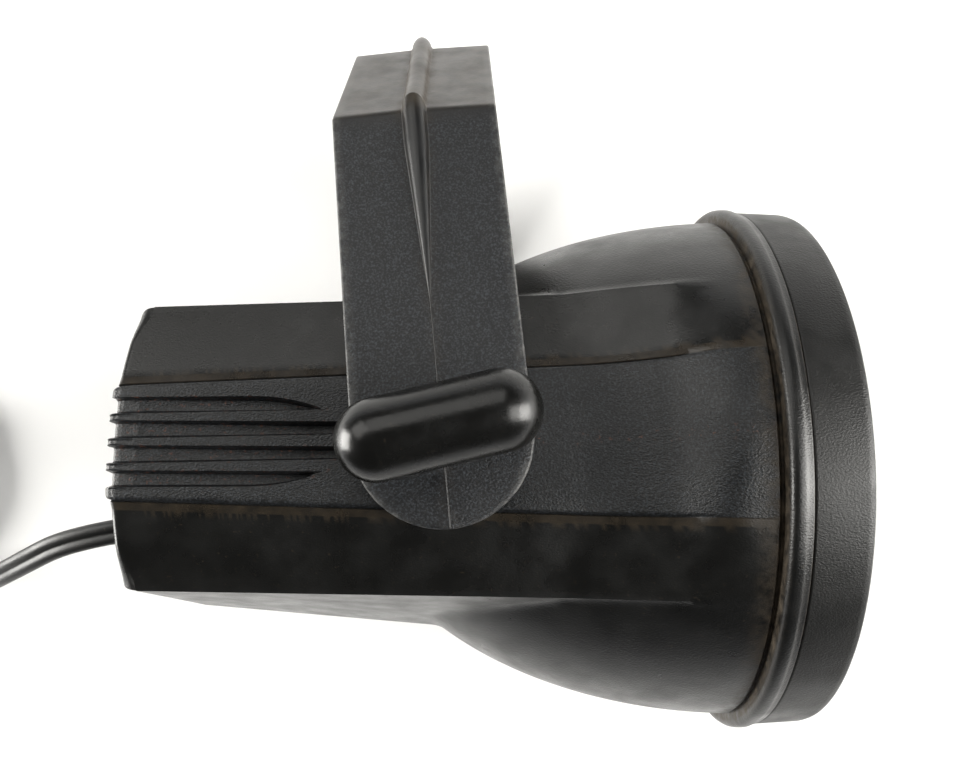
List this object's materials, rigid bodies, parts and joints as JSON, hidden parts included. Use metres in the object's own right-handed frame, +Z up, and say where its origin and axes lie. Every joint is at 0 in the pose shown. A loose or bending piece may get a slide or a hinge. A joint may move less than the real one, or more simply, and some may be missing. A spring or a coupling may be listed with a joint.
{
  "type": "light projector stake",
  "caption": "Black garden light projector with a round bell, a square ribbed rear housing, a tilting yoke with a stake socket, tightening knobs and a flat cord.",
  "frame": {"origin": "on the ground, under the middle of the box round the lamp without its cord, as it lies on its side", "axes": "+Z up; +X along the ground under the beam, towards the front lens; +Y across, towards the bridge of the yoke"},
  "size_m": [0.3782, 0.1804, 0.1516],
  "materials": {
    "housing_plastic": "black moulded ABS, fine grain",
    "ring_plastic": "black moulded ABS, leather grain",
    "yoke_plastic": "black glass-filled nylon, fine grain",
    "knob_plastic": "black nylon, semi-gloss",
    "clear_lens": "clear moulded acrylic",
    "seal_rubber": "black silicone rubber",
    "zinc_steel": "zinc-plated steel",
    "motor_metal": "plated motor can",
    "sink_aluminium": "extruded aluminium",
    "inner_plastic": "black moulded plastic",
    "board_white": "white solder mask on an aluminium board",
    "board_green": "green solder mask on glass-epoxy",
    "component_body": "moulded component bodies",
    "emitter": "phosphor-coated emitters",
    "lead_insulation": "PVC insulation",
    "cord_pvc": "black flexible PVC",
    "tie_plastic": "black coated wire tie",
    "blade_brass": "nickel-plated brass"
  },
  "bodies": {
    "lamp": {"chassis_plate": "inner_plastic", "collimator_cups": "clear_lens", "cord_coil": "cord_pvc", "cord_tail": "cord_pvc", "cord_tie": "tie_plastic", "driver_board": "board_green", "driver_parts": "component_body", "friction_washers": "seal_rubber", "front_lens": "clear_lens", "front_ring": "ring_plastic", "gear_motor": "motor_metal", "heat_sink": "sink_aluminium", "housing_left": "housing_plastic", "housing_right": "housing_plastic", "housing_screws": "zinc_steel", "led_board": "board_white", "led_emitters": "emitter", "lens_gasket": "seal_rubber", "light_baffle": "inner_plastic", "light_leads": "lead_insulation", "module_screws": "zinc_steel", "motor_bracket": "zinc_steel", "motor_leads": "lead_insulation", "motor_screws": "zinc_steel", "pivot_nuts": "zinc_steel", "plate_screws": "zinc_steel", "plug_blades": "blade_brass", "plug_body": "cord_pvc", "power_cord": "cord_pvc", "seam_seal": "seal_rubber", "strain_relief": "cord_pvc", "supply_leads": "lead_insulation"},
    "yoke": {"yoke": "yoke_plastic"},
    "knob_right": {"knob_right": "knob_plastic", "pivot_bolt_right": "zinc_steel"},
    "knob_left": {"knob_left": "knob_plastic", "pivot_bolt_left": "zinc_steel"},
    "pattern_disc": {"pattern_disc": "clear_lens", "disc_spindle": "zinc_steel", "disc_clip": "zinc_steel"}
  },
  "joints": [
    {"name": "yoke_tilt", "type": "hinge", "parent": "lamp", "child": "yoke", "pos_m": [-0.00745, -0.02262, 0.07584], "axis": [0.1602, 0.321, 0.9334], "range_deg": [-38, 75]},
    {"name": "knob_right_turn", "type": "hinge", "parent": "lamp", "child": "knob_right", "pos_m": [-0.00745, -0.02262, 0.07584], "axis": [0.1602, 0.321, 0.9334], "continuous": true},
    {"name": "knob_left_turn", "type": "hinge", "parent": "lamp", "child": "knob_left", "pos_m": [-0.00745, -0.02262, 0.07584], "axis": [0.1602, 0.321, 0.9334], "continuous": true},
    {"name": "pattern_spin", "type": "hinge", "parent": "lamp", "child": "pattern_disc", "pos_m": [0.02162, -0.02262, 0.07085], "axis": [0.9856, 0, -0.1691], "continuous": true}
  ]
}
